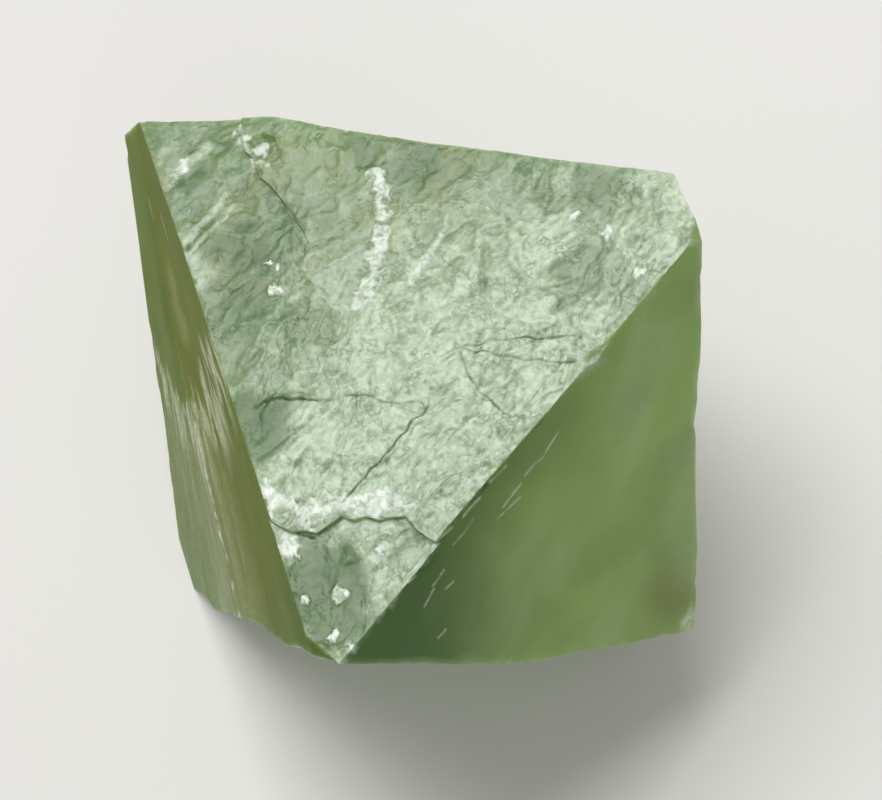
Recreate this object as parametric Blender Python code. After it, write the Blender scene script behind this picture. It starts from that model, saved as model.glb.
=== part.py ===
"""A cleaved fluorite octahedron, about 40 mm on an edge, lying on one of its eight faces.

Fluorite splits along the eight faces of an octahedron. Each split stops at its own depth, so the
faces lie at unequal distances from the centre, corners end in short edges, and ledges, flutes and
shell-shaped chips break the flat faces. Units are metres, +Z is up, and the crystal stands on Z = 0.
"""

import math
import random

import bmesh
import bpy
import numpy as np
from mathutils import Vector, noise

MM = 0.001
NAME = "fluorite_octahedron"
GREEN = (0.16, 0.27, 0.11, 1)

# Driving dimensions, in millimetres: how far each cleavage face lies from the crystal's centre.
TOP = 16.8
BASE = 17.7
RIGHT = 19.4
LEFT = 14.0
BACK = 15.8
FRONT = 15.9
BLOCK = 100  # side of the rough block that the octahedron is split from
LEAN = math.degrees(math.asin(1 / 3))  # the side faces lean this many degrees from upright

# name: azimuth and elevation of the outward normal in degrees, and distance from the centre
FACES = {
    "top": (0, 90, TOP),
    "base": (0, -90, BASE),
    "right_front": (-30, LEAN, RIGHT),
    "left_front": (-150, LEAN, LEFT),
    "back": (87.3, LEAN, BACK),
    "left_under": (150, -LEAN, RIGHT),
    "right_under": (30, -LEAN, LEFT),
    "front_under": (-90.5, -LEAN, FRONT),
}

# Breaks that depart from true cleavage, in the same terms.
BREAKS = {
    "back_left": (92.5, LEAN, 16.3),
    "front_under_right": (-78, -LEAN - 3, 17.12),
    "chip_low_right": (-28, -36, 23.6),
    "chip_front": (-120, 35, 23.7),
    "chip_far_right": (0, 35, 26.05),
}

# A ledge is a thin layer that has split off one side of a jagged line across a face. Points are
# millimetres along the face from its middle: level, then up the slope. The lost layer lies between
# the jagged line and the outer points. Its floor starts at a depth below the face at the first
# point of the line, and dips in a direction along the face by a number of degrees.
LEDGES = [
    # face, jagged line, outer points, depth, dip direction, dip
    ("top", [(-4, -14.2), (-1.2, -15.1), (1.2, -15.3), (2.4, -14.1), (6.2, -13.6), (8.2, -14.9), (11, -14.6)],
     [(12, -26), (-5, -26)], 0.38, -90, 1.5),
    ("top", [(-3.6, 3.4), (-5.5, 5.6), (-8, 8.1), (-9.4, 9.8), (-10.4, 13)],
     [(-24, 16), (-26, 3)], -0.03, 100, 3.6),
    ("back", [(-15, 3), (-8, -1), (-2, -3.5), (4, -3), (9, -8), (18, -9)],
     [(18, -30), (-15, -30)], 0.55, -80, 1),
    ("back", [(-5, -30), (-3, -18), (1, -13), (6, -11), (16, -14)],
     [(16, -30)], 0.8, -90, 2),
    ("left_under", [(-15, 4), (-9, -1), (-6, -6), (-1, -9), (1, -16)],
     [(-26, -16), (-26, 4)], 0.7, 200, 1.5),
    ("right_under", [(0, 26), (2, 12), (6, 4), (8, -3), (13, -9), (13, -18)],
     [(32, -18), (20, 26)], 0.6, 20, 1),
    ("right_under", [(12, 14), (9, 2), (14, -2), (17, -8), (17, -18)],
     [(36, -18), (30, 14)], 1.1, 20, 2),
    ("front_under", [(-12, -18), (-9, -8), (-4, -3), (3, -4.5), (7, -8), (10, -18)],
     [(0, -22)], 0.8, -90, 2),
    ("base", [(-16, -12), (-7, -13.5), (-2, -12), (3, -14), (12, -13)],
     [(12, -30), (-16, -30)], 0.45, -90, 1.2),
]
TOOTH = 0.8  # spacing of the teeth along a jagged line
RAGGED = 0.22  # how far they stand off it
OVERHANG = 4  # how far a cutter stands proud of the face
SEED = 7

# Shell-shaped chips: the two faces whose edge is bitten, place on the first, radius and bite.
SCOOPS = [
    ("top", "top", (-7.9, 9.3), 1.8, 0.35),
    ("top", "right_front", (15.5, -2.4), 2.0, 0.25),
    ("back", "right_under", (-11, 0.5), 12, 1.1),
    ("left_under", "base", (-4, -12), 9, 0.9),
    ("right_under", "base", (4, -13.8), 11, 1.1),
    ("front_under", "base", (-13, -13), 7, 0.8),
    ("left_under", "back", (-9, 4.5), 10, 0.9),
    ("right_under", "front_under", (-17.5, -9.5), 8, 0.8),
]

RIPPLE = 0.6  # how much the shells waver, as a share of the bite
RIPPLE_WAVES = 3
SHELL_DETAIL = 4

# Low swells and hollows: face, place on it, radius and height.
SWELLS = [
    ("back", (7.6, 12.5), 3.0, 0.55),
    ("left_front", (8, -10), 3.0, 0.3),
    ("front_under", (-3.5, 15.5), 2.5, 0.4),
    ("front_under", (0.3, 20.3), 1.5, -0.45),
    ("front_under", (-7, 9), 2.5, -0.2),
    ("front_under", (-10.8, 3.2), 2.2, 0.35),
    ("front_under", (-14, -4.5), 4.0, 0.8),
    ("right_under", (-16.9, 1.5), 4.5, 0.5),
    ("right_under", (-13.2, 8.3), 4.0, -0.1),
    ("right_under", (-9.8, 14.8), 2.2, 0.22),
    ("right_under", (-7.5, 18), 5.0, 0.25),
    ("right_under", (2, -4), 7.0, -0.3),
    ("back", (-2, 2), 7.0, 0.35),
    ("left_under", (3, -2), 6.0, 0.4),
]

# Flutes on the left front face fan out from the crystal's upper left corner.
FLUTE_ROOT = (-19.0, 10.5)
FLUTE_ANGLES = (-60, -50, -44, -36, -28, -20, -12, -5, 4)
FLUTE_HEIGHTS = (0, 0.12, -0.1, 0.15, 0.55, 0.1, -0.14, 0.08, 0)
FLUTE_RISE = 14  # how far from the corner they reach their full height

# How far each surface wavers off its plane, and over what span. The base stays flat.
UNEVEN = {"top": 0.13, "right_front": 0.05, "left_front": 0.05}
UNEVEN_ELSEWHERE = 0.16
UNEVEN_SPAN = 4.5
UNEVEN_OCTAVES = 3

# The longest edge of a facet, and how the facets are made.
GRAIN = {"top": 2.3}
GRAIN_ELSEWHERE = 2.9
FACET_ROUNDS = 7
RELAX_ROUNDS = 6
FLAT = 1e-4  # radians: an edge bent less than this lies inside a flat surface
BELONGS = math.cos(math.radians(6))  # a facet turned less than this from a face belongs to it
NEARLY_PARALLEL = 0.2  # singular values under this share are dropped where planes almost agree


def face_frame(name):
    """The outward normal of a face, its level direction, its upslope direction, and its distance."""
    azimuth, elevation, distance = {**FACES, **BREAKS}[name]
    azimuth, elevation = math.radians(azimuth), math.radians(elevation)
    flat = Vector((math.cos(azimuth), math.sin(azimuth), 0))
    normal = flat * math.cos(elevation) + Vector((0, 0, math.sin(elevation)))
    level = Vector((-math.sin(azimuth), math.cos(azimuth), 0))
    if name in ("top", "base"):
        level = Vector((1, 0, 0))
    return normal, level, normal.cross(level), distance


def on_face(name, place, height=0.0):
    """The point at a place on a face, or at a height above it."""
    normal, level, upslope, distance = face_frame(name)
    return (level * place[0] + upslope * place[1] + normal * (distance + height)) * MM


def collection(name):
    found = bpy.data.collections.new(name)
    bpy.context.scene.collection.children.link(found)
    return found


def new_object(name, bm, home):
    bmesh.ops.recalc_face_normals(bm, faces=bm.faces[:])
    mesh = bpy.data.meshes.new(name)
    bm.to_mesh(mesh)
    bm.free()
    made = bpy.data.objects.new(name, mesh)
    home.objects.link(made)
    return made


def cleave(bm, name):
    """Split off everything beyond a face's plane, and close the cut."""
    normal, _, _, distance = face_frame(name)
    geometry = bm.verts[:] + bm.edges[:] + bm.faces[:]
    point = normal * distance * MM
    cut = bmesh.ops.bisect_plane(bm, geom=geometry, plane_co=point, plane_no=normal, clear_outer=True)
    rim = [part for part in cut["geom_cut"] if isinstance(part, bmesh.types.BMEdge)]
    bmesh.ops.edgeloop_fill(bm, edges=rim)


def cleaved_block(home):
    bm = bmesh.new()
    bmesh.ops.create_cube(bm, size=BLOCK * MM)
    for name in [*FACES, *BREAKS]:
        cleave(bm, name)
    return new_object(NAME, bm, home)


def jagged(line, rng):
    """The points of a line with teeth added between them."""
    points = [Vector(line[0])]
    for start, end in zip(line, line[1:]):
        start, end = Vector(start), Vector(end)
        teeth = max(1, round((end - start).length / TOOTH))
        across = (end - start).orthogonal().normalized()
        for step in range(1, teeth + 1):
            off = 0 if step == teeth else rng.uniform(-RAGGED, RAGGED)
            points.append(start.lerp(end, step / teeth) + across * off)
    return points


def ledge_cutter(name, ledge, home, rng):
    face, line, outer, depth, direction, dip = ledge
    outline = jagged(line, rng) + [Vector(point) for point in outer]
    fall = Vector((math.cos(math.radians(direction)), math.sin(math.radians(direction))))
    bm = bmesh.new()
    floor = []
    for point in outline:
        below = depth + (point - outline[0]).dot(fall) * math.tan(math.radians(dip))
        floor.append(bm.verts.new(on_face(face, point, -below)))
    floor = bm.faces.new(floor)
    raised = bmesh.ops.extrude_face_region(bm, geom=[floor])
    lid = [part for part in raised["geom"] if isinstance(part, bmesh.types.BMVert)]
    bmesh.ops.translate(bm, verts=lid, vec=face_frame(face)[0] * OVERHANG * MM)
    return new_object(name, bm, home)


def scoop_cutter(name, scoop, home):
    face, other, place, radius, bite = scoop
    outward = (face_frame(face)[0] + face_frame(other)[0]).normalized()
    bm = bmesh.new()
    bmesh.ops.create_icosphere(bm, subdivisions=SHELL_DETAIL, radius=radius * MM)
    for vert in bm.verts:
        ripple = noise.noise(vert.co / MM * RIPPLE_WAVES / radius) * RIPPLE * bite * MM
        vert.co += vert.co.normalized() * ripple
    bmesh.ops.translate(bm, verts=bm.verts[:], vec=on_face(face, place) + outward * (radius - bite) * MM)
    return new_object(name, bm, home)


def cut_away(body, cutter):
    cutter.hide_render = True
    cutter.display_type = "WIRE"
    cut = body.modifiers.new(cutter.name, "BOOLEAN")
    cut.operation = "DIFFERENCE"
    cut.solver = "EXACT"
    cut.object = cutter


def break_ledges_and_chips(body, home):
    rng = random.Random(SEED)
    for number, ledge in enumerate(LEDGES):
        cut_away(body, ledge_cutter(f"ledge_{number}", ledge, home, rng))
    for number, scoop in enumerate(SCOOPS):
        cut_away(body, scoop_cutter(f"scoop_{number}", scoop, home))


def applied(body):
    """The body's mesh with its modifiers applied, as a bmesh."""
    bpy.context.view_layer.update()
    bm = bmesh.new()
    bm.from_mesh(body.evaluated_get(bpy.context.evaluated_depsgraph_get()).to_mesh())
    body.modifiers.clear()
    return bm


def face_of(normal):
    """The name of the cleavage face or break that a normal belongs to, or None on a ledge's riser."""
    names = [*FACES, *BREAKS]
    closest = max(names, key=lambda name: normal.dot(face_frame(name)[0]))
    return closest if normal.dot(face_frame(closest)[0]) > BELONGS else None


def score_flutes(bm):
    """Edges along each flute's crest and trough, for the relief to fold along."""
    normal, level, upslope, _ = face_frame("left_front")
    root = on_face("left_front", FLUTE_ROOT)
    for angle in FLUTE_ANGLES[1:-1]:
        along = level * math.cos(math.radians(angle)) + upslope * math.sin(math.radians(angle))
        faces = [face for face in bm.faces if face_of(face.normal) == "left_front"]
        edges = {edge for face in faces for edge in face.edges}
        verts = {vert for face in faces for vert in face.verts}
        geometry = [*verts, *edges, *faces]
        bmesh.ops.bisect_plane(bm, geom=geometry, plane_co=root, plane_no=along.cross(normal))


def facet(bm):
    """Divide every surface but the flat base until its edges are as short as its grain."""
    for _ in range(FACET_ROUNDS):
        bmesh.ops.triangulate(bm, faces=bm.faces[:])
        names = {face: face_of(face.normal) for face in bm.faces}
        longer = []
        for edge in bm.edges:
            around = [names[face] for face in edge.link_faces if names[face] != "base"]
            grain = min((GRAIN.get(name, GRAIN_ELSEWHERE) for name in around), default=BLOCK)
            if edge.calc_length() > grain * MM:
                longer.append(edge)
        if not longer:
            return
        bmesh.ops.subdivide_edges(bm, edges=longer, cuts=1)


def relax(bm):
    """Even out the points that lie inside a flat surface, without leaving it."""
    inner = [vert for vert in bm.verts if all(edge.calc_face_angle() < FLAT for edge in vert.link_edges)]
    for _ in range(RELAX_ROUNDS):
        for vert in inner:
            around = [edge.other_vert(vert).co for edge in vert.link_edges]
            vert.co = vert.co.lerp(sum(around, Vector()) / len(around), 0.5)


def flute_height(place):
    away = Vector(place) - Vector(FLUTE_ROOT)
    angle = math.degrees(math.atan2(away.y, away.x))
    return np.interp(angle, FLUTE_ANGLES, FLUTE_HEIGHTS) * min(1, away.length / FLUTE_RISE)


def height(name, point):
    """How far the broken surface stands off a face's plane at a point, in millimetres."""
    if name == "base":
        return 0.0
    at = point / MM
    waver = noise.fractal(at / UNEVEN_SPAN, 1.0, 2.0, UNEVEN_OCTAVES)
    found = UNEVEN.get(name, UNEVEN_ELSEWHERE) * waver
    if name is None:
        return found
    _, level, upslope, _ = face_frame(name)
    place = Vector((at.dot(level), at.dot(upslope)))
    for face, middle, radius, rise in SWELLS:
        if name.startswith(face):
            found += rise * math.exp(-((place - Vector(middle)).length / radius) ** 2)
    if name == "left_front":
        found += flute_height(place)
    return found


def roughen(bm):
    """Move each point so that every surface it lies on stands off by its own height."""
    names = {face: face_of(face.normal) for face in bm.faces}
    normals = {face: face.normal.copy() for face in bm.faces}
    moves = {}
    for vert in bm.verts:
        planes = {tuple(round(part, 2) for part in normals[face]): face for face in vert.link_faces}
        facing = np.array([normals[face] for face in planes.values()])
        rises = np.array([height(names[face], vert.co) for face in planes.values()])
        moves[vert] = Vector(np.linalg.lstsq(facing, rises, rcond=NEARLY_PARALLEL)[0]) * MM
        if any(names[face] == "base" for face in vert.link_faces):
            moves[vert].z = 0
    for vert, move in moves.items():
        vert.co += move


def settle(body):
    """Stand the crystal on Z = 0 with its bounding box centred on the Z axis."""
    points = np.array([vert.co for vert in body.data.vertices])
    low, high = points.min(axis=0), points.max(axis=0)
    body.location = (-(low[0] + high[0]) / 2, -(low[1] + high[1]) / 2, -low[2])


def crystal_material():
    made = bpy.data.materials.new("green_fluorite")
    made.use_nodes = True
    shader = made.node_tree.nodes["Principled BSDF"]
    shader.inputs["Base Color"].default_value = GREEN
    shader.inputs["Roughness"].default_value = 0.35
    shader.inputs["Metallic"].default_value = 0
    shader.inputs["IOR"].default_value = 1.434
    shader.inputs["Transmission Weight"].default_value = 0.4
    return made


def build():
    for old in list(bpy.data.objects):
        bpy.data.objects.remove(old)
    parts = collection(NAME)
    cutters = collection("cutters")
    body = cleaved_block(parts)
    break_ledges_and_chips(body, cutters)
    bm = applied(body)
    score_flutes(bm)
    facet(bm)
    relax(bm)
    roughen(bm)
    bm.to_mesh(body.data)
    bm.free()
    settle(body)
    body.data.materials.append(crystal_material())


build()
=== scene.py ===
"""The look of a cleaved green fluorite octahedron lying on a plain pale floor.

One closed mesh stands for the CAD crystal. It starts from the CAD solid's own faces, which are divided
finely and given etched plates, cracks, crushed spots, flutes and worn edges. Attributes on its points
say how frosted, crushed, cracked, glowing, olive or rough each place is, and the material reads
them. Some of this is painted light: painted sheen and painted reflection among the frosted places,
painted highlights among the white ones, painted shade in the cracked ones and at steps, and a painted
glow where light would shine through the body. Until the mesh is made, points are in millimetres from
the crystal's centre.
"""

import math

import bpy
import numpy as np
from mathutils import Matrix, Vector, noise


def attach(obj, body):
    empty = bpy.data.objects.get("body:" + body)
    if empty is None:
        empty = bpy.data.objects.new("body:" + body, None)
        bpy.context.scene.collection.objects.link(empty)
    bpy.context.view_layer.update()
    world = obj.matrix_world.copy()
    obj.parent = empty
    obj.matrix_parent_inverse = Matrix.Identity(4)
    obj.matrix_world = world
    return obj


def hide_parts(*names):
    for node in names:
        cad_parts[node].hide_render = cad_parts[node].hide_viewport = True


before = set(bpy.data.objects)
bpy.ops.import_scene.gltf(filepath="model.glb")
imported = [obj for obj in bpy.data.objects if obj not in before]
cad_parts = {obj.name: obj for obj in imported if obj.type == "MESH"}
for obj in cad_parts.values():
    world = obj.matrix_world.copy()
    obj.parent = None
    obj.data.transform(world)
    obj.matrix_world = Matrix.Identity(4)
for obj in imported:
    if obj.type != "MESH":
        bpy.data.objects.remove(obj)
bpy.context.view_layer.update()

# noise_vector starts from a new random place in each run, unless it is given a seed.
SEED = 3
noise.seed_set(SEED)

MM = 0.001
NODE = "fluorite_octahedron"
SLOT = "green_fluorite"

# The crystal's centre in the CAD frame, in millimetres, and each face's azimuth and elevation.
CENTRE = np.array((-0.09, 0.48, 17.70))
LEAN = math.degrees(math.asin(1 / 3))
FACES = {
    "top": (0, 90),
    "base": (0, -90),
    "right_front": (-30, LEAN),
    "left_front": (-150, LEAN),
    "back": (90, LEAN),
    "left_under": (150, -LEAN),
    "right_under": (30, -LEAN),
    "front_under": (-88, -LEAN),
}
NAMES = list(FACES)
TOP, BASE, RIGHT_FRONT, LEFT_FRONT = 0, 1, 2, 3
BACK, LEFT_UNDER, RIGHT_UNDER, FRONT_UNDER = 4, 5, 6, 7

# The longest edge left on each face of the fine mesh, and near the cracks, in millimetres.
GRAIN = np.array([0.24, 2.5, 0.95, 0.52, 0.95, 0.95, 0.95, 0.95])
FINE_GRAIN = 0.12
FINE_REACH = 0.20
SPLIT_ROUNDS = 7

# Facets that meet at less than this angle are rounded into each other.
SHARP = math.cos(math.radians(27))
SMOOTH_ROUNDS = 14
SHADED_SHARP = math.radians(34)

# How far from a sharp edge each face's relief reaches its full height, in millimetres.
EDGE_REACH = np.array([0.45, 1.0, 0.6, 0.6, 2.2, 2.2, 2.2, 2.2])
FAR = 9.0
FLAT_ON_FLOOR = 0.02  # points this near the lowest one stay where they are

# Sharp edges are worn back by up to this depth, over this width, and are whitened a little.
WEAR = 0.30
WEAR_WIDTH = 0.45
WORN_WHITE = 0.2

# The step and the pit on the top face get uneven outlines, away from the face's own border.
JAGGED = 0.22
JAGGED_SPAN = 0.9
BORDER_REACH = 1.2

# ---- places on the top face: level to the right, then away ----

# The white streaks, the ledge and the small spots are partly crushed white and partly painted highlights
# where ridges, slopes and chips face the light.
STREAK = [(-0.2, 8.6), (0.4, 7.2), (1.0, 5.5), (1.3, 3.8), (1.2, 2.3), (1.2, 0.8), (0.3, -0.5)]
SECOND_STREAK = [(5.0, 4.4), (4.3, 3.2), (3.4, 1.2)]
CRUSHED_LEDGE_HIGHLIGHT = [(-2.7, -13.1), (-1.1, -13.8), (0.9, -14.2), (1.9, -13.2), (4.0, -13.1), (5.7, -12.8)]
CRUSHED_CORNER = [(-10.1, 11.1), (-9.4, 9.8), (-8.3, 8.6), (-7.2, 8.2)]
LONG_CRACK = [(6.1, -6.6), (5.2, -8.4), (3.8, -10.7), (2.5, -13.0)]
# Of these finer ones, the sixth, under the crushed ledge, is the ledge's painted shadow.
CRACKS = [
    [(-3.8, -7.4), (-1.6, -7.1), (0.2, -6.9)],
    [(1.1, -6.6), (2.8, -6.5), (4.5, -6.7)],
    [(7.2, -2.8), (8.5, -2.3), (10.1, -1.7), (14.4, -1.2)],
    [(7.2, -2.8), (10.6, -2.9), (14.5, -2.8)],
    [(7.5, -3.1), (8.8, -5.0), (9.9, -5.9), (10.7, -6.5)],
    [(-1.4, -15.1), (1.0, -15.4)],
    [(-5.9, 6.0), (-5.5, 5.6), (-4.2, 4.2), (-3.7, 3.5)],
]
PIT = (-7.9, 9.3)

# Small bright spots, partly crushed chips and partly painted highlights: middle and size.
GLINTS = [
    ((14.9, 5.9), 0.30), ((12.7, 6.6), 0.22), ((-4.8, -0.1), 0.28), ((-5.6, 1.4), 0.16),
    ((-5.0, 1.4), 0.14), ((7.2, 6.4), 0.14), ((-7.9, 9.3), 0.34), ((-9.2, 10.0), 0.2),
    ((3.3, -18.5), 0.27), ((3.5, -21.1), 0.24), ((4.6, -21.6), 0.18), ((1.3, -19.4), 0.15),
    ((-0.5, -16.2), 0.5), ((5.2, -15.6), 0.24), ((17.3, 3.3), 0.24), ((-12.9, 7.6), 0.3),
]
GLINT_SPREAD = 1.4

# Where the etched layer is thin, and where it is thicker: middle, radius and amount. The last three thin
# places also darken the left of the top face, where the painted sheen falls off: painted shade.
BARE_PATCHES = [
    ((14.3, 3.3), 2.3, 0.5), ((-4.3, -9.2), 2.7, 1.0), ((1.7, -17.9), 2.7, 1.0),
    ((3.4, -20.4), 2.0, 0.9), ((-14.6, 9.6), 2.2, 0.3), ((-9.6, 8.6), 2.0, 0.3),
    ((3.4, 9.6), 2.4, 0.5), ((-2.2, -2.6), 1.6, 0.55), ((-7.5, 2.5), 2.2, 0.5),
    ((-6.0, -5.5), 1.4, 0.4), ((13.5, 8.6), 1.5, 0.4), ((-7.4, -2.4), 3.4, 0.35),
    ((-2.2, -5.2), 2.6, 0.3), ((-12.0, 6.2), 3.2, 0.2),
]
PALE_PATCHES = [
    ((19.0, 9.5), 2.6, 0.40), ((-12.5, 7.0), 4.5, 0.15), ((4.5, -10.0), 4.0, 0.15),
    ((-14.4, 7.2), 1.5, 0.35), ((-10.3, 0.2), 1.5, 0.45),
]
# Pale bands across the far left corner: path, half width and amount.
PALE_BANDS = [
    ([(-11.4, 2.3), (-9.5, 5.9)], 0.35, 0.65),
    ([(-10.9, 1.6), (-8.9, 5.3)], 0.22, 0.50),
    ([(-13.7, 6.2), (-12.5, 8.1), (-11.5, 9.5)], 0.60, 0.70),
]

# The direction that the etched plates are drawn out in, and by how much.
PLATE_GRAIN = np.array((0.46, 0.89, 0.0))
PLATE_STRETCH = 0.4

# Heights of the top face's relief, in millimetres. The plates stand higher where the face is lively.
COARSE_RELIEF, COARSE_LIVELY = 0.16, 0.22
FINE_RELIEF, FINE_LIVELY = 0.04, 0.10
CRUSHED_RISE = 0.12
CRACK_DEPTH = 0.12
SWELL_RISE = 0.05
PIT_FILL, PIT_RADIUS = 0.24, 1.1

# ---- places on the right front face: level, then up the slope ----

# Thin pale cleavage cracks close under the upper edge, and dark ones along it.
HAIRLINES = [
    [(1.2, 9.0), (-0.5, 8.5), (-1.2, 8.8), (-2.1, 8.7)],
    [(-2.6, 8.5), (-4.3, 8.4)],
    [(-3.1, 7.8), (-5.2, 8.1)],
    [(-6.1, 9.7), (-8.0, 9.6)],
    [(-7.4, 10.7), (-10.1, 10.8)],
    [(-2.6, 10.6), (-3.9, 10.7)],
    [(-10.9, 10.3), (-11.5, 10.4)],
    [(-9.5, 8.7), (-10.5, 8.5)],
    [(-9.4, 7.3), (-10.0, 7.4)],
    [(-10.6, 8.2), (-11.7, 7.8)],
    [(-11.7, 4.9), (-12.3, 4.9)],
    [(-5.0, 10.5), (-6.4, 10.5)],
]
EDGE_CRACKS = [
    [(1.0, 10.74), (-1.4, 10.7)],
    [(-3.2, 10.7), (-5.7, 10.76)],
    [(-7.4, 10.72), (-9.2, 10.66)],
]
CLOUD_GRAIN = np.array((0.82, 0.57))
CHIPPED_CORNER = (1.1, -14.4)
STAIN = (1.0, -10.6)
WAXY_ROUGHNESS = 0.30

# ---- places on the left front face: level, then up the slope ----

# Flutes fan out from the crystal's upper left corner. Angles are in degrees, below level.
FLUTE_ROOT = np.array((-19.0, 10.5))
MAIN_FLUTE = 28
SMEAR = [(-9.2, 6.9), (-7.1, 5.8), (-5.4, 5.5)]
SILKY_ROUGHNESS = 0.85

# The faces whose cracks need a finer mesh.
CRACKED_FACES = {TOP: [LONG_CRACK, *CRACKS], RIGHT_FRONT: HAIRLINES + EDGE_CRACKS}


def face_frame(name):
    """The outward normal of a face, its level direction and its upslope direction."""
    azimuth, elevation = map(math.radians, FACES[name])
    flat = Vector((math.cos(azimuth), math.sin(azimuth), 0))
    normal = flat * math.cos(elevation) + Vector((0, 0, math.sin(elevation)))
    lies_flat = abs(normal.z) > 0.95
    level = Vector((1, 0, 0)) if lies_flat else Vector((0, 0, 1)).cross(normal).normalized()
    return np.array(normal), np.array(level), np.array(normal.cross(level))


NORMALS = np.array([face_frame(name)[0] for name in NAMES])


# ---- mesh tools ----


def unit(vectors):
    return vectors / (np.linalg.norm(vectors, axis=-1, keepdims=True) + 1e-12)


def cad_triangles():
    """The CAD solid's points, with those at one place merged, and its triangles."""
    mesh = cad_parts[NODE].data
    mesh.calc_loop_triangles()
    points = np.empty(len(mesh.vertices) * 3)
    mesh.vertices.foreach_get("co", points)
    faces = np.empty(len(mesh.loop_triangles) * 3, int)
    mesh.loop_triangles.foreach_get("vertices", faces)
    points = points.reshape(-1, 3) / MM
    _, first, index = np.unique(np.round(points, 4), axis=0, return_index=True, return_inverse=True)
    faces = index.reshape(-1)[faces].reshape(-1, 3)
    whole = (faces[:, 0] != faces[:, 1]) & (faces[:, 1] != faces[:, 2]) & (faces[:, 0] != faces[:, 2])
    return points[first] - CENTRE, faces[whole]


def face_normals(points, faces):
    a, b, c = points[faces[:, 0]], points[faces[:, 1]], points[faces[:, 2]]
    return unit(np.cross(b - a, c - a))


def kind_of(normals):
    """The crystal face that each triangle belongs to."""
    return (normals @ NORMALS.T).argmax(axis=1)


def edges_of(faces):
    """Every edge once, and the three edges of each face."""
    ends = np.sort(faces[:, [[0, 1], [1, 2], [2, 0]]].reshape(-1, 2), axis=1)
    edges, index = np.unique(ends, axis=0, return_inverse=True)
    return edges, index.reshape(-1, 3)


def grain(points, faces, kinds):
    """The longest edge wanted for each triangle, with fine ones along the cracks."""
    wanted = GRAIN[kinds]
    corners = points[faces]
    size = np.linalg.norm(corners - np.roll(corners, 1, axis=1), axis=2).max(axis=1)
    for kind, paths in CRACKED_FACES.items():
        own = kinds == kind
        away = nearest(places_on(NAMES[kind], corners[own].mean(axis=1)), paths)
        wanted[own] = np.where(away < FINE_REACH + 0.6 * size[own], FINE_GRAIN, wanted[own])
    return wanted


def split(points, faces, kinds):
    """Halve each edge that is longer than the grain of a triangle beside it."""
    edges, sides = edges_of(faces)
    limit = np.full(len(edges), np.inf)
    np.minimum.at(limit, sides.ravel(), np.repeat(grain(points, faces, kinds), 3))
    too_long = np.linalg.norm(points[edges[:, 0]] - points[edges[:, 1]], axis=1) > limit
    middles = np.full(len(edges), -1)
    middles[too_long] = len(points) + np.arange(too_long.sum())
    points = np.vstack([points, points[edges[too_long]].mean(axis=1)])
    middles = middles[sides]
    count = (middles >= 0).sum(axis=1)
    # Turn each triangle so that a lone cut is on its first side, and a lone whole side is its last.
    turn = np.where(count == 1, (middles >= 0).argmax(axis=1), 0)
    turn = np.where(count == 2, ((middles < 0).argmax(axis=1) + 1) % 3, turn)
    order = (turn[:, None] + np.arange(3)) % 3
    a, b, c = np.take_along_axis(faces, order, axis=1).T
    ab, bc, ca = np.take_along_axis(middles, order, axis=1).T
    patterns = {
        0: [(a, b, c)],
        1: [(a, ab, c), (ab, b, c)],
        2: [(ab, b, bc), (a, ab, bc), (a, bc, c)],
        3: [(a, ab, ca), (b, bc, ab), (c, ca, bc), (ab, bc, ca)],
    }
    pieces, owners = [], []
    for cuts, corners in patterns.items():
        chosen = count == cuts
        for corner in corners:
            pieces.append(np.stack(corner, axis=1)[chosen])
            owners.append(kinds[chosen])
    return points, np.concatenate(pieces), np.concatenate(owners)


def sharp_edges(points, faces):
    """Every edge, and whether the surface turns sharply there."""
    edges, sides = edges_of(faces)
    normals = face_normals(points, faces)
    total = np.zeros((len(edges), 3))
    for side in range(3):
        np.add.at(total, sides[:, side], normals)
    # Two unit normals at an angle t sum to a vector of length 2 cos(t / 2).
    bend = np.square(np.linalg.norm(total, axis=1)) / 2 - 1
    return edges, bend < SHARP


def smoothed(points, edges, sharp):
    """Round the facets between sharp edges, and keep the sharp edges where they are."""
    size = len(points)
    on_edge = np.bincount(edges[sharp].ravel(), minlength=size)
    used = sharp | ((on_edge[edges[:, 0]] == 0) | (on_edge[edges[:, 1]] == 0))
    a, b = edges[used].T
    sharp_used = sharp[used]
    into_a = sharp_used | (on_edge[a] == 0)
    into_b = sharp_used | (on_edge[b] == 0)
    targets = np.concatenate([a[into_a], b[into_b]])
    sources = np.concatenate([b[into_a], a[into_b]])
    count = np.bincount(targets, minlength=size)
    free = (count > 0) & ((on_edge == 0) | (on_edge == 2))
    for _ in range(SMOOTH_ROUNDS):
        for axis in range(3):
            total = np.bincount(targets, weights=points[sources, axis], minlength=size)
            mean = total[free] / count[free]
            points[free, axis] += 0.5 * (mean - points[free, axis])
    return points


def distance_to(edges, points, start, rounds=14):
    """How far each point is along the surface from the start points, up to a few steps away."""
    away = np.where(start, 0.0, FAR)
    a, b = edges.T
    length = np.linalg.norm(points[a] - points[b], axis=1)
    for _ in range(rounds):
        np.minimum.at(away, a, away[b] + length)
        np.minimum.at(away, b, away[a] + length)
    return away


# ---- patterns on the surface ----


def fractal(points, span, octaves=3, shift=0.0):
    """Smooth noise from about -1 to 1 that changes over a span in millimetres."""
    offset = Vector((shift, 0, 0))
    return np.array([noise.fractal(Vector(p) / span + offset, 0.9, 2.0, octaves) for p in points])


def warped(points, span, reach, shift=0.0):
    """The points pushed about by noise, so that patterns on them curl."""
    offset = Vector((0, shift, 0))
    turns = [noise.noise_vector(Vector(p) / span + offset) for p in points]
    return points + np.array(turns) * reach


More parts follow.
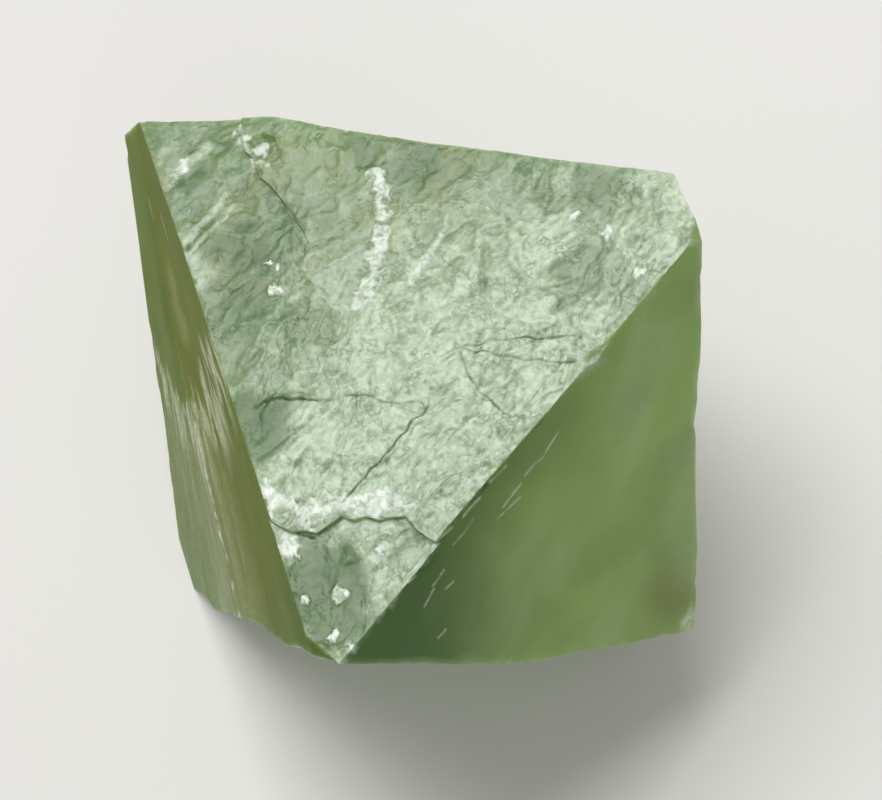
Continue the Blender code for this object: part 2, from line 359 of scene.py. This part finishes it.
def plates(points, span, layers, shift=0.0, riser=0.05):
    """Thin plates that overlap at random, from 0 to 1 high, and how near each place is to a step."""
    height = np.zeros(len(points))
    step = np.zeros(len(points))
    for layer in range(layers):
        value = fractal(points, span * (1 - 0.12 * layer), 3, shift + 7.3 * layer) + 0.05
        height += np.clip(value / riser + 0.5, 0, 1) / layers
        step = np.maximum(step, 1 - soft_step(np.abs(value), 0.2 * riser, 0.9 * riser))
    return height, step


def soft_step(value, low, high):
    """0 up to the low value and 1 from the high one, with a smooth rise between them."""
    share = np.clip((value - low) / (high - low), 0, 1)
    return share * share * (3 - 2 * share)


def places_on(name, points):
    """Where the points are on a face: level, then up the slope."""
    _, level, upslope = face_frame(name)
    return np.stack([points @ level, points @ upslope], axis=1)


def near(places, path):
    """The distance from each place to a path of straight stretches."""
    best = np.full(len(places), np.inf)
    for start, end in zip(path, path[1:]):
        start, end = np.array(start), np.array(end)
        along = end - start
        share = np.clip((places - start) @ along / (along @ along), 0, 1)
        best = np.minimum(best, np.linalg.norm(places - start - share[:, None] * along, axis=1))
    return best


def nearest(places, paths):
    return np.min([near(places, path) for path in paths], axis=0)


def lines(places, paths, inner, outer):
    """1 along the paths, falling to 0 from the inner distance to the outer one."""
    return 1 - soft_step(nearest(places, paths), inner, outer)


def spot(places, middle, radius):
    """1 in the middle of a round spot, fading outwards."""
    return np.exp(-np.square(np.linalg.norm(places - np.array(middle), axis=1) / radius))


def patches(places, spots, low, high):
    """The strongest of some spots, each with its middle, radius and amount."""
    best = np.zeros(len(places))
    for middle, radius, amount in spots:
        best = np.maximum(best, amount * soft_step(spot(places, middle, radius), low, high))
    return best


# ---- the surfaces: each returns its height in millimetres and its marks, where they aren't 0 ----


def top_white(points, ragged, drawn_out, grains):
    """The white places of the top face, partly crushed and partly painted highlights: two streaks, the
    ledge, a corner and small spots.
    """
    flakes, _ = plates(drawn_out, 1.0, 3, 80.0, 0.10)
    white = 0.85 - 0.85 * soft_step(near(ragged, STREAK) - 0.5 * grains, 0.32, 0.50)
    second = 0.7 - soft_step(near(ragged, SECOND_STREAK) - 0.3 * grains, 0.18, 0.38)
    ledge = 1 - soft_step(near(ragged, CRUSHED_LEDGE_HIGHLIGHT) - 0.7 * grains, 0.45, 0.75)
    corner = 1 - soft_step(near(ragged, CRUSHED_CORNER) - 0.5 * grains, 0.05, 0.3)
    white = np.maximum(white, second) * (0.75 + 0.4 * flakes)
    white = np.maximum(white, ledge * (0.45 + 0.9 * flakes))
    white = np.maximum(white, 0.7 * corner)
    for middle, size in GLINTS:
        glint = spot(ragged, middle, size * GLINT_SPREAD) + 0.3 * grains
        white = np.maximum(white, soft_step(glint, 0.3, 0.5))
    return white


def top_cracks(bent, broken):
    """Cracks: one deep, and finer ones that come and go, with the ledge's painted shadow among the finer
    ones.
    """
    fine = (0.5 + 0.5 * broken) * lines(bent, CRACKS, 0.02, 0.11)
    return np.maximum(lines(bent, [LONG_CRACK], 0.02, 0.10), fine)


def top_bands(bent, wavy):
    """Pale glassy bands, and patches where the etched layer is thicker."""
    bands = patches(wavy, PALE_PATCHES, 0.1, 0.8)
    for path, width, amount in PALE_BANDS:
        bands = np.maximum(bands, amount * lines(bent, [path], 0.3 * width, width))
    return bands


def etched_top(points):
    """Contorted plates, a crushed ledge, cracks, white streaks and barer patches."""
    places = places_on("top", points)
    ragged = warped(warped(points, 0.9, 0.35), 0.3, 0.14, 2.0)[:, :2]
    wavy = warped(points, 2.4, 1.3, 5.0)[:, :2]
    bent = warped(points, 1.0, 0.14, 3.0)[:, :2]
    drawn_out = points - PLATE_STRETCH * (points @ PLATE_GRAIN)[:, None] * PLATE_GRAIN
    curled = warped(warped(drawn_out, 3.0, 1.0), 1.0, 0.45, 9.0)
    coarse, coarse_step = plates(curled, 3.4, 5)
    fine, fine_step = plates(curled, 1.4, 3, 50.0, 0.12)
    grains = fractal(points, 0.5, 2, 7.0)
    mottle = fractal(curled, 0.8, 3, 23.0)
    broken = soft_step(fractal(points, 1.3, 2, 13.0), -0.10, 0.45)
    # The near right half is lively: its plates stand higher, and it is paler, partly from a thicker
    # etched layer and partly from painted sheen where the key light's reflection falls.
    lively = soft_step(places[:, 0] * 0.5 - places[:, 1] * 0.9, -7, 7)
    bare = patches(wavy, BARE_PATCHES, 0.15, 0.6)
    white = top_white(points, ragged, drawn_out, grains)
    crack_and_shade = top_cracks(bent, broken)

    height = (COARSE_RELIEF + COARSE_LIVELY * lively) * (coarse - 0.5)
    height = height + (FINE_RELIEF + FINE_LIVELY * lively) * (fine - 0.5)
    height *= 1 - 0.75 * bare
    swell = SWELL_RISE * fractal(points, 2.6, 2, 17.0)
    height += CRUSHED_RISE * white * (0.5 + grains) - CRACK_DEPTH * crack_and_shade + swell
    height += PIT_FILL * spot(places, PIT, PIT_RADIUS)

    # Painted shade: the plates' step edges are darkened, as if shaded.
    line = np.maximum((0.12 + 0.7 * lively) * coarse_step, 0.4 * lively * fine_step)
    line *= broken * (1 - 0.8 * bare)
    # Painted sheen: a pale spot where the key light's reflection falls, painted into the frosted layer.
    sheen = spot(places, (7.0, -1.5), 9.0)
    frost_and_sheen = 0.53 * lively + 0.20 * sheen + (0.40 + 0.12 * lively) * coarse + 0.15 * fine + 0.12 * mottle
    frost_and_sheen = np.clip(frost_and_sheen * (1 - 0.85 * bare) + top_bands(bent, wavy), 0, 1)
    return height, {
        "frost_and_sheen": frost_and_sheen,
        "white": np.clip(white, 0, 1),
        "crack_and_shade": np.maximum(crack_and_shade, 0.6 * line),
        # Painted glow of light through the body, dimmed on the bare patches as painted shade.
        "glow": (0.15 + 0.15 * fractal(points, 5.0, 2, 19.0)) * (1 - 0.9 * bare),
        "olive": 0.4 * (1 - lively) * soft_step(fractal(curled, 2.2, 3, 29.0), 0.0, 0.5),
        "rough": 0.28 + 0.06 * frost_and_sheen,
    }


def cloud_direction():
    """The direction in space that the clouds in the right front face are drawn out in."""
    _, level, upslope = face_frame("right_front")
    return CLOUD_GRAIN[0] * level + CLOUD_GRAIN[1] * upslope


def waxy_right(points):
    """Almost smooth, with thin cleavage cracks in the deeper green close under the upper edge."""
    places = places_on("right_front", points)
    bent = places_on("right_front", warped(points, 1.5, 0.15))
    broken = soft_step(fractal(points, 0.9, 2, 4.0), -0.35, 0.15)
    hair = (0.35 + 0.65 * broken) * lines(bent, HAIRLINES, 0.03, 0.13)
    crack_and_shade = 0.8 * broken * lines(bent, EDGE_CRACKS, 0.03, 0.14)
    chipped = soft_step(spot(bent, CHIPPED_CORNER, 1.2), 0.35, 0.5)
    cloudy = fractal(points, 6.0)
    milk = fractal(points - 0.5 * (places @ CLOUD_GRAIN)[:, None] * cloud_direction(), 4.0, 4, 31.0)
    # Painted glow, for light shining through the body: least in the near corner and along the left of the
    # upper edge, so the green is deepest there.
    corner = soft_step(places[:, 0] * 0.9 - places[:, 1] * 0.35, -17, -3)
    left_part = 1 - soft_step(places[:, 0], 1, 9)
    under_edge = soft_step(places[:, 1] + 1.5 * cloudy, 5.0, 11.0) * left_part
    haze = corner * (1 - under_edge) * (0.05 + 0.16 * soft_step(milk, -0.2, 0.6))
    stain = soft_step(spot(places + milk[:, None], STAIN, 3.0), 0.2, 0.9)
    olive = 0.2 * soft_step(-places[:, 1], 4, 12) + 0.5 * stain + 0.6 * hair
    height = 0.02 * fractal(points, 3.0) + 0.02 * hair - 0.10 * chipped - 0.04 * crack_and_shade
    return height, {
        "frost_and_sheen": np.maximum(haze, 0.45 * hair),
        "white": np.maximum(0.30 * hair, 0.5 * chipped),
        "crack_and_shade": crack_and_shade,
        "glow": corner * (0.88 - 0.32 * under_edge + 0.20 * cloudy),
        "olive": np.clip(olive, 0, 1),
        "rough": WAXY_ROUGHNESS,
    }


def flute_angle(points):
    """The angle of each point round the flutes' root, and its distance from it."""
    places = places_on("left_front", points) - FLUTE_ROOT
    return np.degrees(np.arctan2(places[:, 1], places[:, 0])), np.linalg.norm(places, axis=1)


def fluted_left(points):
    """Clear near its corner, then silky past a frayed front, with streaks that fan out. The pale streaks
    are partly silky fracture and partly a painted reflection of the bright surroundings, and the ridge
    carries painted glints.
    """
    angle, away = flute_angle(points)
    fan = np.stack([angle * 0.40, away * 0.20, np.zeros(len(points))], axis=1)
    streaks = fractal(fan, 1.0, 4)
    wide = fractal(fan, 4.0, 2, 6.0)
    # 1 on the far side of the main flute and 0 on the near side.
    left = soft_step(-angle, MAIN_FLUTE - 20, MAIN_FLUTE + 4)
    near_top = soft_step(angle, -20, 0)
    front = soft_step(away + 2.4 * streaks - 2.0 * left, 16.9, 19.6)
    fading = 1 - soft_step(away, 20, 25)
    # Painted light: the far strip is made paler, as if it faced the light.
    bright = left * (0.42 + 0.38 * (1 - soft_step(away, 19.5, 23.0)))
    bright *= 1 - 0.45 * soft_step(-angle, 42, 60)
    silk_and_reflection = front * (bright + fading * soft_step(streaks + 0.3, 0, 0.6)) * (1 + 0.5 * streaks + 0.4 * wide)
    on_ridge = 1 - soft_step(np.abs(angle + MAIN_FLUTE + 2 * wide), 0.25, 1.0)
    broken = soft_step(fractal(points, 0.8, 2, 8.0), 0.0, 0.25)
    smear = lines(places_on("left_front", warped(points, 1.5, 0.5)), [SMEAR], 0.1, 1.3)
    haze = 0.05 + 0.05 * fractal(points, 5.0, 3, 71.0)
    haze += 0.22 * smear
    olive = 0.60 + 0.32 * soft_step(angle, -MAIN_FLUTE - 8, -MAIN_FLUTE + 6) - 0.14 * near_top
    olive -= 0.28 * soft_step(away, 31, 36)
    body = 0.15 * fractal(points, 7.0, 2, 73.0)
    return (0.01 + 0.05 * front) * streaks, {
        "frost_and_sheen": np.clip(haze + silk_and_reflection, 0, 0.9),
        # Painted glints, broken, along the ridge.
        "white": 0.9 * on_ridge * broken * soft_step(away, 18, 21),
        # Painted glow of light through the body, brighter on the far strip before the frayed front and
        # less near the top.
        "glow": 0.25 + 0.08 * left * (1 - front) - 0.15 * near_top + body,
        "olive": olive,
        "rough": SILKY_ROUGHNESS,
    }


def broken_side(shift):
    """An etched cleavage face with steps, a little smoother than the top."""

    def surface(points):
        curled = warped(points, 3.6, 2.4, shift)
        coarse, coarse_step = plates(curled, 5.5, 5, shift)
        fine, fine_step = plates(curled, 2.4, 3, shift + 2)
        calm = soft_step(fractal(points, 7.0, 2, shift + 5), -0.25, 0.35)
        frost_and_sheen = np.clip(0.25 - 0.30 * calm + 0.5 * coarse, 0, 1)
        return (1 - 0.7 * calm) * (0.50 * (coarse - 0.6) + 0.14 * (fine - 0.5)), {
            "frost_and_sheen": frost_and_sheen,
            "white": soft_step(fractal(curled, 2.0, 4, shift + 3), 0.55, 0.75) * (1 - calm),
            # Painted shade on the steps' edges.
            "crack_and_shade": 0.5 * (1 - calm) * np.maximum(coarse_step, 0.6 * fine_step),
            "glow": 0.5 + 0.3 * fractal(points, 8.0, 2, shift + 9),
            "olive": 0.3 * soft_step(fractal(points, 9.0, 2, shift + 11), 0.0, 0.5),
            "rough": 0.32 + 0.12 * frost_and_sheen,
        }

    return surface


def flat_base(points):
    frost_and_sheen = np.clip(0.3 + 0.3 * fractal(points, 3.0), 0, 1)
    return np.zeros(len(points)), {"frost_and_sheen": frost_and_sheen, "glow": 0.4, "rough": 0.4}


SURFACES = {
    TOP: etched_top,
    BASE: flat_base,
    RIGHT_FRONT: waxy_right,
    LEFT_FRONT: fluted_left,
    BACK: broken_side(20.0),
    LEFT_UNDER: broken_side(30.0),
    RIGHT_UNDER: broken_side(40.0),
    FRONT_UNDER: broken_side(50.0),
}
MARKS = ("frost_and_sheen", "white", "crack_and_shade", "glow", "olive", "rough")


# ---- the crystal ----


def marked(size, chosen):
    """True at the chosen points, of as many as the size."""
    found = np.zeros(size, bool)
    found[chosen] = True
    return found


def dress(points, faces, kinds, edges, sharp):
    """Displace the points and return them with their marks."""
    size = len(points)
    from_edge = distance_to(edges, points, marked(size, edges[sharp].ravel()))
    marks = np.zeros((len(MARKS), size))
    share = np.zeros(size)
    move = np.zeros_like(points)
    for kind, surface in SURFACES.items():
        own = np.unique(faces[kinds == kind])
        height, found = surface(points[own])
        share[own] += 1
        rise = height * soft_step(from_edge[own], 0.0, EDGE_REACH[kind])
        move[own] += NORMALS[kind] * rise[:, None]
        for mark, name in zip(marks, MARKS):
            mark[own] += found.get(name, 0)
    marks /= share
    move /= share[:, None]

    on_top = marked(size, faces[kinds == TOP])
    from_border = distance_to(edges, points, share > 1)[on_top]
    jagged = (warped(points[on_top], JAGGED_SPAN, JAGGED, 37.0) - points[on_top]) * (1, 1, 0)
    move[on_top] += jagged * soft_step(from_border, 0.0, BORDER_REACH)[:, None]

    # Wear is finer round the top face, where the mesh is fine enough to carry it.
    chip = np.where(on_top, fractal(points, 0.8, 3, 60.0), fractal(points, 2.4, 2, 60.0))
    on_edge = 1 - soft_step(from_edge, 0.0, WEAR_WIDTH)
    worn = np.clip(chip, 0, 1) * WEAR * on_edge
    move -= unit(points) * worn[:, None]
    white = marks[MARKS.index("white")]
    white[:] = np.maximum(white, WORN_WHITE * (on_edge * soft_step(chip, 0.0, 0.5)))

    move[np.abs(points[:, 2] - points[:, 2].min()) < FLAT_ON_FLOOR] = 0
    return points + move, marks


def crystal():
    points, faces = cad_triangles()
    kinds = kind_of(face_normals(points, faces))
    for _ in range(SPLIT_ROUNDS):
        points, faces, kinds = split(points, faces, kinds)
    edges, sharp = sharp_edges(points, faces)
    points = smoothed(points, edges, sharp)
    points, marks = dress(points, faces, kinds, edges, sharp)
    mesh = bpy.data.meshes.new("crystal")
    mesh.from_pydata((points + CENTRE) * MM, [], faces)
    for name, values in zip(MARKS, marks):
        layer = mesh.attributes.new(name, "FLOAT", "POINT")
        layer.data.foreach_set("value", values.astype(np.float32))
    mesh.shade_smooth()
    mesh.set_sharp_from_angle(angle=SHADED_SHARP)
    made = bpy.data.objects.new("crystal", mesh)
    bpy.context.scene.collection.objects.link(made)
    return made


# ---- materials ----


class Nodes:
    """Short calls for building a node tree."""

    # A Mix node's colour sockets come after those for its other kinds of data.
    MIX_A, MIX_B, MIX_RESULT = 6, 7, 2

    def __init__(self, name):
        self.material = bpy.data.materials.new(name)
        self.material.use_nodes = True
        self.tree = self.material.node_tree
        self.shader = self.tree.nodes["Principled BSDF"]
        self.output = self.tree.nodes["Material Output"]

    def add(self, kind, **settings):
        node = self.tree.nodes.new(kind)
        for name, value in settings.items():
            setattr(node, name, value)
        return node

    def link(self, source, target):
        """Join a socket to the target, or set a plain value on it."""
        if isinstance(source, (int, float, tuple)):
            target.default_value = source
        else:
            self.tree.links.new(source, target)

    def mark(self, name):
        return self.add("ShaderNodeAttribute", attribute_name=name).outputs["Fac"]

    def place(self, span):
        """Object coordinates, in units of a span in millimetres."""
        scaled = self.add("ShaderNodeVectorMath", operation="SCALE")
        self.link(self.add("ShaderNodeTexCoord").outputs["Object"], scaled.inputs[0])
        scaled.inputs["Scale"].default_value = 1 / (span * MM)
        return scaled.outputs[0]

    def noise(self, span, detail=3.0, distortion=0.0):
        node = self.add("ShaderNodeTexNoise")
        self.link(self.place(span), node.inputs["Vector"])
        node.inputs["Scale"].default_value = 1
        node.inputs["Detail"].default_value = detail
        node.inputs["Distortion"].default_value = distortion
        return node.outputs["Fac"]

    def math(self, operation, a, b=0.0, clamp=False):
        node = self.add("ShaderNodeMath", operation=operation, use_clamp=clamp)
        self.link(a, node.inputs[0])
        self.link(b, node.inputs[1])
        return node.outputs[0]

    def times(self, a, b, clamp=False):
        return self.math("MULTIPLY", a, b, clamp)

    def ranged(self, value, low, high, to_low=0.0, to_high=1.0):
        """A smooth change from one value to another as the input goes from low to high."""
        node = self.add("ShaderNodeMapRange", interpolation_type="SMOOTHSTEP")
        self.link(value, node.inputs["Value"])
        node.inputs["From Min"].default_value = low
        node.inputs["From Max"].default_value = high
        node.inputs["To Min"].default_value = to_low
        node.inputs["To Max"].default_value = to_high
        return node.outputs["Result"]

    def contour(self, span, distortion, width):
        """A thin line wherever a noise passes its middle value."""
        value = self.math("SUBTRACT", self.noise(span, 3, distortion), 0.5)
        return self.ranged(self.math("ABSOLUTE", value), 0.0, width, 1.0, 0.0)

    def mix(self, share, a, b):
        node = self.add("ShaderNodeMix", data_type="RGBA")
        self.link(share, node.inputs["Factor"])
        self.link(a, node.inputs[self.MIX_A])
        self.link(b, node.inputs[self.MIX_B])
        return node.outputs[self.MIX_RESULT]


# The clear body, from its deepest green to its brightest as the painted glow of light through it rises,
# and its olive places.
DEEP_GREEN = (0.048, 0.150, 0.004, 1)
BRIGHT_GREEN = (0.310, 0.490, 0.100, 1)
OLIVE = (0.185, 0.225, 0.020, 1)
# The etched layer, which is silkier where the body is olive, and what lies in and on it. Its pale colours
# also carry painted sheen on the top face and painted reflection on the left front face, and the chalk
# carries painted highlights.
MINT = (0.540, 0.645, 0.490, 1)
SILK = (0.520, 0.540, 0.330, 1)
CHALK = (0.840, 0.900, 0.820, 1)
SHADOW_GREEN = (0.050, 0.080, 0.035, 1)

CRYSTAL_IOR = 1.434
MOST_TRANSMISSION = 0.28
ABSORPTION_COLOR = (0.50, 0.85, 0.30, 1)
ABSORPTION_DENSITY = 200
GLOW_WEIGHT = 0.6
GLOW_RADIUS = (0.8, 1.0, 0.6)
GLOW_DEPTH = 2.0
BUMP_HEIGHT = 0.04


def crystal_color(n, crust_and_sheen, body, white, crack_and_shade, olive):
    """The body under its frosted, partly painted-sheen layer, with painted shade in the cracks and steps,
    and chalk where it is crushed and where a painted highlight falls.
    """
    color = n.mix(crust_and_sheen, body, n.mix(olive, MINT, SILK))
    color = n.mix(n.times(crack_and_shade, 0.70), color, SHADOW_GREEN)
    crushed = n.ranged(n.noise(0.5, 3, 0.8), 0.38, 0.56, 0.40, 1.0)
    return n.mix(n.times(white, crushed), color, CHALK)


def crystal_bump(n, groove, grains, frost_and_sheen):
    """The finest relief: grooves and grains in the etched layer."""
    relief = n.math("ADD", n.times(groove, -0.6), n.times(grains, 0.15))
    bump = n.add("ShaderNodeBump")
    bump.inputs["Distance"].default_value = BUMP_HEIGHT * MM
    bump.inputs["Strength"].default_value = 1.0
    n.link(n.times(relief, n.math("ADD", frost_and_sheen, 0.08)), bump.inputs["Height"])
    return bump.outputs["Normal"]


def crystal_material():
    n = Nodes(SLOT)
    frost_and_sheen, white, crack_and_shade, glow, olive, rough = (n.mark(name) for name in MARKS)
    cloud = n.ranged(n.noise(9, 3, 0.6), 0.3, 0.7, -0.12, 0.12)
    wisps = n.ranged(n.noise(2.4, 4, 1.2), 0.35, 0.75)
    body = n.mix(n.math("ADD", glow, cloud, clamp=True), DEEP_GREEN, BRIGHT_GREEN)
    body = n.mix(olive, body, OLIVE)
    # Etched lines: fine curled grooves, broken here and there; they thin the frosted layer so the darker
    # body shows in them, as painted shade.
    groove = n.math("MAXIMUM", n.contour(1.5, 0.6, 0.016), n.contour(0.8, 0.5, 0.022))
    groove = n.times(groove, n.ranged(n.noise(1.8, 2), 0.48, 0.64))
    grains = n.ranged(n.noise(0.35, 2, 0.5), 0.35, 0.7)
    crust_and_sheen = n.times(frost_and_sheen, n.math("SUBTRACT", 1.0, n.times(groove, 0.28)))
    crust_and_sheen = n.times(crust_and_sheen, n.math("ADD", 0.8, n.times(grains, 0.35)), clamp=True)
    clear = n.math("SUBTRACT", 1.0, n.math("MAXIMUM", crust_and_sheen, white))
    inputs = n.shader.inputs
    n.link(crystal_color(n, crust_and_sheen, body, white, crack_and_shade, olive), inputs["Base Color"])
    n.link(n.math("ADD", rough, n.times(wisps, 0.05)), inputs["Roughness"])
    n.link(n.times(clear, MOST_TRANSMISSION, clamp=True), inputs["Transmission Weight"])
    n.link(crystal_bump(n, groove, grains, frost_and_sheen), inputs["Normal"])
    inputs["IOR"].default_value = CRYSTAL_IOR
    inputs["Subsurface Weight"].default_value = GLOW_WEIGHT
    inputs["Subsurface Radius"].default_value = GLOW_RADIUS
    inputs["Subsurface Scale"].default_value = GLOW_DEPTH * MM
    absorb = n.add("ShaderNodeVolumeAbsorption")
    absorb.inputs["Color"].default_value = ABSORPTION_COLOR
    absorb.inputs["Density"].default_value = ABSORPTION_DENSITY
    n.link(absorb.outputs["Volume"], n.output.inputs["Volume"])
    return n.material


# ---- stage, light and camera ----

FLOOR_COLOR = (0.80, 0.79, 0.765, 1)
FLOOR_ROUGHNESS = 0.8
FLOOR_SIZE = 4
FLOOR_DROP = 0.05  # millimetres, so that the floor doesn't share the base's plane

# Soft boxes: direction from the crystal, distance and size in metres, and power in watts.
LIGHTS = {
    "key": ((-0.17, 0.29, 0.94), 0.60, 0.36, 2.75),
    "fill": ((0.60, -0.75, 0.50), 0.90, 0.60, 1.0),
}
WORLD_COLOR = (1.0, 0.99, 0.97, 1)
WORLD_STRENGTH = 0.345

# The camera, fitted to the photo: millimetres from the centre, degrees, and lens in millimetres.
CAMERA_FROM_CENTRE = Vector((40.87, -52.11, 140.19))
CAMERA_AZIMUTH, CAMERA_ELEVATION, CAMERA_ROLL = -53.57, 65.16, -27.39
CAMERA_LENS = 93.84
CAMERA_CLIP = 0.01


def floor():
    n = Nodes("pale_floor")
    n.shader.inputs["Base Color"].default_value = FLOOR_COLOR
    n.shader.inputs["Roughness"].default_value = FLOOR_ROUGHNESS
    bpy.ops.mesh.primitive_plane_add(size=FLOOR_SIZE, location=(0, 0, -FLOOR_DROP * MM))
    made = bpy.context.object
    made.name = "floor"
    made.data.materials.append(n.material)


def soft_light(name, towards, distance, size, power):
    """A square softbox in a direction from the crystal, facing it."""
    light = bpy.data.lights.new(name, "AREA")
    light.size = size
    light.energy = power
    made = bpy.data.objects.new(name, light)
    bpy.context.scene.collection.objects.link(made)
    direction = Vector(towards).normalized()
    made.location = Vector(CENTRE) * MM + direction * distance
    made.rotation_euler = direction.to_track_quat("Z", "Y").to_euler()


def lights():
    for name, settings in LIGHTS.items():
        soft_light(name, *settings)
    world = bpy.data.worlds.new("studio")
    world.use_nodes = True
    background = world.node_tree.nodes["Background"].inputs
    background["Color"].default_value = WORLD_COLOR
    background["Strength"].default_value = WORLD_STRENGTH
    bpy.context.scene.world = world
    bpy.context.scene.view_settings.view_transform = "Standard"


def camera():
    """Looks down at the top face from in front and to the right, turned about its own axis."""
    data = bpy.data.cameras.new("camera")
    data.lens = CAMERA_LENS
    data.clip_start = CAMERA_CLIP
    made = bpy.data.objects.new("camera", data)
    bpy.context.scene.collection.objects.link(made)
    azimuth, elevation = math.radians(CAMERA_AZIMUTH), math.radians(CAMERA_ELEVATION)
    flat = Vector((math.cos(azimuth), math.sin(azimuth), 0))
    back = flat * math.cos(elevation) + Vector((0, 0, math.sin(elevation)))
    roll = Matrix.Rotation(math.radians(CAMERA_ROLL), 3, "Z")
    turn = back.to_track_quat("Z", "Y").to_matrix() @ roll
    place = (Vector(CENTRE) + CAMERA_FROM_CENTRE) * MM
    made.matrix_world = Matrix.Translation(place) @ turn.to_4x4()
    bpy.context.scene.camera = made


stone = crystal()
stone.data.materials.append(crystal_material())
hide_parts(NODE)
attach(stone, "root")
floor()
lights()
camera()
